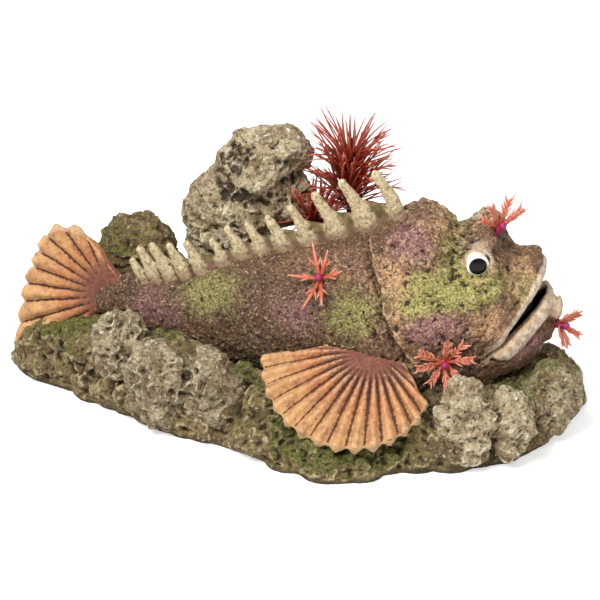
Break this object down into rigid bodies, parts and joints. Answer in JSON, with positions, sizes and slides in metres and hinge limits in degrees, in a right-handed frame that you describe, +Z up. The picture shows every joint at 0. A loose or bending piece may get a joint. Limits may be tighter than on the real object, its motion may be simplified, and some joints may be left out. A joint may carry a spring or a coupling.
{
  "type": "bubbling aquarium ornament",
  "caption": "Spiny rockfish resting on porous lava rock with plastic plants, an air inlet behind and a bubble-lifted flap in its open mouth.",
  "frame": {"origin": "middle of the base's footprint, on the ground", "axes": "+X from tail to head, -Y towards the display side, +Z up"},
  "size_m": [0.2798, 0.1463, 0.1264],
  "materials": {
    "lava_rock": "painted cast polyresin, rough and porous",
    "fish_skin": "painted cast polyresin, granular, matt",
    "fin_spines": "painted cast polyresin, satin",
    "fin_rays": "painted cast polyresin, satin",
    "eye_white": "gloss",
    "eye_pupil": "gloss",
    "coral_plastic": "soft moulded plastic, slightly translucent",
    "magenta_plastic": "gloss",
    "red_plastic": "soft moulded plastic, slightly translucent",
    "black_plastic": "satin",
    "pin_metal": "stainless pin",
    "clear_tube": "silicone tube",
    "air_stone": "porous",
    "rubber": "matt"
  },
  "bodies": {
    "root": {"reef_base": "lava_rock", "front_left_rocks": "lava_rock", "front_right_rocks": "lava_rock", "right_end_rock": "lava_rock", "rear_left_rock": "lava_rock", "rear_tall_rock": "lava_rock", "fish_body": "fish_skin", "lower_jaw": "fish_skin", "dorsal_fin": "fin_spines", "tail_fin": "fin_rays", "right_pectoral_fin": "fin_rays", "left_pectoral_fin": "fin_rays", "right_eye_white": "eye_white", "right_eye_pupil": "eye_pupil", "left_eye_white": "eye_white", "left_eye_pupil": "eye_pupil", "brow_sprig": "coral_plastic", "flank_sprig": "coral_plastic", "cheek_sprig": "coral_plastic", "chin_sprig": "coral_plastic", "sprig_pegs": "magenta_plastic", "tall_red_plant_stem": "red_plastic", "tall_red_plant_crowns": "red_plastic", "low_red_plant_stem": "red_plastic", "low_red_plant_crowns": "red_plastic", "flap_pin": "pin_metal", "mouth_insert": "black_plastic", "air_tube": "clear_tube", "air_stone": "air_stone", "air_inlet": "black_plastic", "inlet_grommet": "rubber"},
    "flap": {"mouth_flap": "black_plastic"}
  },
  "joints": [
    {"name": "flap_lift", "type": "hinge", "parent": "root", "child": "flap", "pos_m": [0.0865, 0.008, 0.0385], "axis": [0, -1, 0], "range_deg": [0, 25]}
  ]
}
